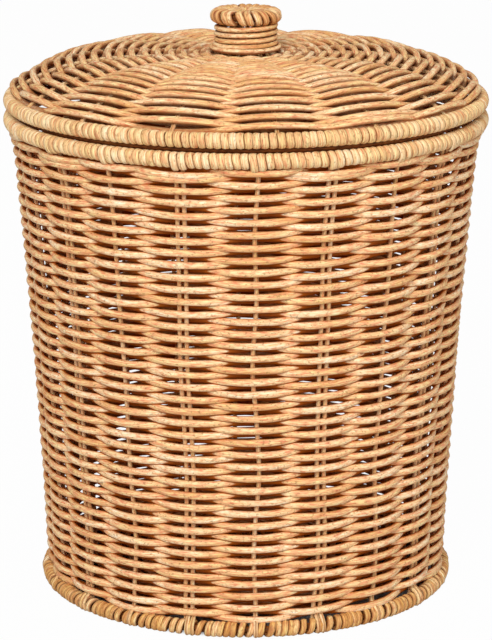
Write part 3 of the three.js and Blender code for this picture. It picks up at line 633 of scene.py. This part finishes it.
# Base: ten sticks cross in the middle and fan out, two strands weave round them
base = {"Strand": 3.9 * mm, "Flattened": 0.95, "Rows": 25, "Stakes": stakes, "First stake": firstStake,
        "Depth": 3.2 * mm, "Fullness": 0.2, "Calm": 1.0, "Drift": 0.0, "Wander": 1.0 * mm, "Loose": 0.6 * mm,
        "Uneven": 0.06, "Steps": 160, "Sides": 8, "Material": wovenCane, "inner": 24 * mm, "inset": 2 * mm,
        "outline steps": 30}
baseMiddle = (baseLow + baseTop) / 2
baseEdge = baseOuter - base["inset"]
baseOutline = [(r, 0, baseMiddle) for r in evenly(base["inner"], baseEdge, base["outline steps"])]
basePitch = (baseEdge - base["inner"]) / (base["Rows"] - 1)
for i, (name, seed) in enumerate((("base_weaver_a", 43.0), ("base_weaver_b", 48.0))):
    weaver = dict(base, Pitch=2 * basePitch, Start=0.0, Highest=baseEdge, Phase=i * math.pi, Seed=seed,
                  Begin=math.pi / stakes + i * math.pi, Turns=base["Rows"] / 2)
    makePiece(name, plainWeave, weaver, baseOutline, "basket", ["base_weave"])
stick = {"Count": 2, "Step": math.pi / 2, "First": firstStake, "Drift": 0.0, "Width": 3 * mm, "Uneven": 0.03,
         "Sides": 8, "Material": coreCane, "apart": 3.8 * mm, "crossing": 13 * mm, "under": 1.65 * mm,
         "layer": 5}
for index in range(1, stick["layer"] + 1):
    place = index - (stick["layer"] + 1) // 2
    fan = place * spacing
    bent = (base["inner"] * math.cos(fan), base["inner"] * math.sin(fan), baseMiddle)
    ends = [(stick["crossing"], place * stick["apart"], baseMiddle - stick["under"]), bent,
            (baseEdge * math.cos(fan), baseEdge * math.sin(fan), baseMiddle)]
    across = [(-x, y, z) for x, y, z in reversed(ends)] + ends
    makePiece(f"base_sticks_{index}", caneRods, dict(stick, Seed=50.0 + place), across, "basket",
              [f"base_stick_{index:02d}", f"base_stick_{index + stick['layer']:02d}"])

# Lid: one strand spirals in over an odd number of spokes, with shallower waves round the knob
dome = {"crown": 333.6 * mm, "rise": 22.9 * mm, "flatness": 5, "bore": 19.9 * mm, "edge": 141.8 * mm,
        "spoke end": 143.5 * mm}


def domeHeight(r):
    return dome["crown"] - dome["rise"] * (r / lidRadius) ** dome["flatness"]


lidWeave = {"Strand": 4.25 * mm, "Flattened": 0.9, "Rows": 33, "clear": 2.1 * mm, "outline steps": 80,
            "Begin": math.pi / spokes, "Stakes": spokes, "First stake": firstSpoke, "Depth": 3.1 * mm,
            "Fullness": 0.25, "Calm": 0.2, "Calm from": 30 * mm, "Calm to": 92 * mm,
            "Drift": math.radians(1.5), "Wander": 2.0 * mm, "Loose": 1.4 * mm, "Uneven": 0.1, "Steps": 150,
            "Sides": 9, "Material": lidCane, "Phase": math.pi, "Seed": 61.0}
domeOutline = [(r, 0, domeHeight(r))
               for r in evenly(dome["edge"], dome["bore"] + lidWeave["clear"], lidWeave["outline steps"])]
domeRun = runLength(domeOutline)
lidPitch = domeRun / (lidWeave["Rows"] - 1)
lidWeaver = dict(lidWeave, Pitch=lidPitch, Start=-lidPitch, Highest=domeRun, Turns=lidWeave["Rows"] + 0.5)
makePiece("lid_weaver", plainWeave, lidWeaver, domeOutline, "lid", ["lid_weave"])

# Spokes follow the dome to the neck, turn up inside it and close in to the crown of the knob
spoke = {"Count": spokes, "First": firstSpoke, "Step": fullTurn / spokes, "Drift": lidWeave["Drift"],
         "Width": 2.6 * mm, "Uneven": 0.03, "Sides": 8, "Seed": 67.0, "Material": lappedCane,
         "neck": 15.3 * mm, "crown": 8.5 * mm, "sunk": 0.9 * mm, "under cap": 2.6 * mm, "under top": 2 * mm,
         "path steps": 40, "bend steps": 5}
spokePath = [(r, 0, domeHeight(r) - spoke["sunk"])
             for r in evenly(dome["spoke end"], dome["bore"], spoke["path steps"])]
bend = dome["bore"] - spoke["neck"]
bendLow = spokePath[-1][2]
for turn in evenly(0, math.pi / 2, spoke["bend steps"])[1:]:
    spokePath.append((dome["bore"] - bend * math.sin(turn), 0, bendLow + bend * (1 - math.cos(turn))))
leanTop = capLow - spoke["under cap"]
spokePath.append((spoke["neck"], 0, leanTop - (spoke["neck"] - spoke["crown"])))
spokePath.append((spoke["crown"], 0, leanTop))
spokePath.append((spoke["crown"], 0, capTop - spoke["under top"]))
makePiece("lid_spokes", caneRods, spoke, spokePath, "lid", numbered("lid_spoke", spokes))

# Ring under the lid's edge that rests on the rim, in the dark rod colour that paints it as shade
seat = dict(hoop, Width=3.8 * mm, Uneven=0.04, Seed=71.0, radius=141.5 * mm, height=301.4 * mm)
makePiece("seat_ring", caneRods, seat, ringPath(seat["radius"], seat["height"], hoopPoints), "lid",
          ["lid_seat_ring"], True)

# Knob: five coils round the neck, the lowest flared, and a ring wound in close slanting turns
neck = {"Strand": 3.2 * mm, "Flattened": 1.0, "Pitch": 3.6 * mm, "Turns": 5.0, "Start": -1.8 * mm,
        "Highest": 30 * mm, "Begin": 0.0, "Stakes": 0, "First stake": math.radians(100), "Phase": 0.0,
        "Depth": 0.0, "Fullness": 0.0, "Calm": 1.0, "Drift": 0.0, "Wander": 0.5 * mm, "Loose": 0.4 * mm,
        "Uneven": 0.05, "Steps": 64, "Sides": 10, "Seed": 73.0, "Material": handledCane, "radius": 18.1 * mm,
        "flare": 3 * mm, "flare share": 0.25, "low": 338.2 * mm, "tall": 15.2 * mm, "outline steps": 40}
neckOutline = []
for share in evenly(0, 1, neck["outline steps"]):
    flare = neck["flare"] * max(0, 1 - share / neck["flare share"]) ** 2
    neckOutline.append((neck["radius"] + flare, 0, neck["low"] + neck["tall"] * share))
makePiece("knob_neck", plainWeave, neck, neckOutline, "lid", ["knob_coil"])
capMiddle = (capLow + capTop) / 2
cap = {"Radius": 15.7 * mm, "Height": capMiddle, "Half width": 5.0 * mm, "Half height": 3.3 * mm,
       "Squareness": 0.8, "Turns": 23.0, "Width": 4.6 * mm, "Thickness": 2.8 * mm, "Upright": 0.5,
       "Stakes": spokes, "First stake": 0.3, "Spread": 0.0, "Dip": 0.0, "Stray": 0.2, "Uneven": 0.1,
       "Steps": 24, "Sides": 10, "Seed": 79.0, "Material": handledCane}
makePiece("knob_wraps", lappedRing, cap, noPath, "lid", ["knob_wrap"])

# The hole of the ring is closed with crossing turns
crownBelow = 4.0 * mm
crown = dict(cap, Radius=7.0 * mm, Height=capTop - crownBelow, Turns=13.0, Upright=0.25, Stray=0.5, Seed=81.0,
             **{"Half width": 5.6 * mm, "Half height": 2.2 * mm, "Squareness": 1.0})
makePiece("knob_crown", lappedRing, crown, noPath, "lid", ["knob_wrap"])
capCore = dict(hoop, Width=3.8 * mm, Seed=83.0, radius=16.2 * mm, points=48)
makePiece("knob_core", caneRods, capCore, ringPath(capCore["radius"], capMiddle, capCore["points"]), "lid",
          ["knob_ring"], True)

# Pale floor that keeps the shadow but looks white to the camera
studio = {"floorSize": 8.0, "floorColour": "#CFCFCF", "floorGlow": 0.975, "ambient": 0.42, "shade": 118 * mm,
          "shadeEdge": 8 * mm, "white": "#FFFFFF"}
bpy.ops.mesh.primitive_plane_add(size=studio["floorSize"])
floor = bpy.context.object
floor.name = "floor"
floorPaint = bpy.data.materials.new("matt white paper")
floorPaint.use_nodes = True
tree = floorPaint.node_tree
tree.nodes.clear()
rays = addNode(tree, "ShaderNodeLightPath").outputs
paper = addNode(tree, "ShaderNodeBsdfDiffuse", {"Color": linear(studio["floorColour"])})
glow = addNode(tree, "ShaderNodeEmission", {"Color": linear(studio["white"]), "Strength": 1.0})
spot = addNode(tree, "ShaderNodeTexCoord").outputs["Object"]
fromAxis = addNode(tree, "ShaderNodeVectorMath", [spot], operation="LENGTH").outputs["Value"]
clear = addNode(tree, "ShaderNodeMapRange",
                {"Value": fromAxis, "From Min": studio["shade"],
                 "From Max": studio["shade"] + studio["shadeEdge"],
                 "To Min": 0.0, "To Max": studio["floorGlow"]})
seen = addNode(tree, "ShaderNodeMath", [rays["Is Camera Ray"], clear], operation="MULTIPLY")
mixed = addNode(tree, "ShaderNodeMixShader", [seen, paper, glow])
addNode(tree, "ShaderNodeOutputMaterial", [mixed])
floor.data.materials.append(floorPaint)

# White all round for the camera, an even grey for everything else
world = bpy.data.worlds.new("white studio")
scene.world = world
world.use_nodes = True
tree = world.node_tree
tree.nodes.clear()
rays = addNode(tree, "ShaderNodeLightPath").outputs
strength = addNode(tree, "ShaderNodeMapRange",
                   {"Value": rays["Is Camera Ray"], "To Min": studio["ambient"], "To Max": 1.0})
sky = addNode(tree, "ShaderNodeBackground", {"Color": linear(studio["white"]), "Strength": strength})
addNode(tree, "ShaderNodeOutputWorld", [sky])

# One wide soft lamp high in front, a weaker one to the right: place, size and power
lamps = {"key": ((-0.5, -2.45, 1.95), 1.5, 71.0), "fill": ((1.9, -1.3, 1.2), 1.4, 12.0)}
lampAim = Vector((0, 0, 0.18))
for name, (place, size, power) in lamps.items():
    light = bpy.data.lights.new(name, "AREA")
    light.shape = "DISK"
    light.size = size
    light.energy = power
    lamp = bpy.data.objects.new(name, light)
    lamp.location = place
    lamp.rotation_euler = (lampAim - Vector(place)).to_track_quat("-Z", "Y").to_euler()
    scene.collection.objects.link(lamp)

# Camera at the photograph's place, tipped down by an angle in radians
view = {"place": (0, -1747.7 * mm, 615.15 * mm), "down": 0.2522, "lens": 161.23}
camera = bpy.data.objects.new("camera", bpy.data.cameras.new("camera"))
camera.location = view["place"]
camera.rotation_euler = (math.pi / 2 - view["down"], 0, 0)
camera.data.lens = view["lens"]
scene.collection.objects.link(camera)
scene.camera = camera
scene.view_settings.view_transform = "Standard"
print("studio ready")
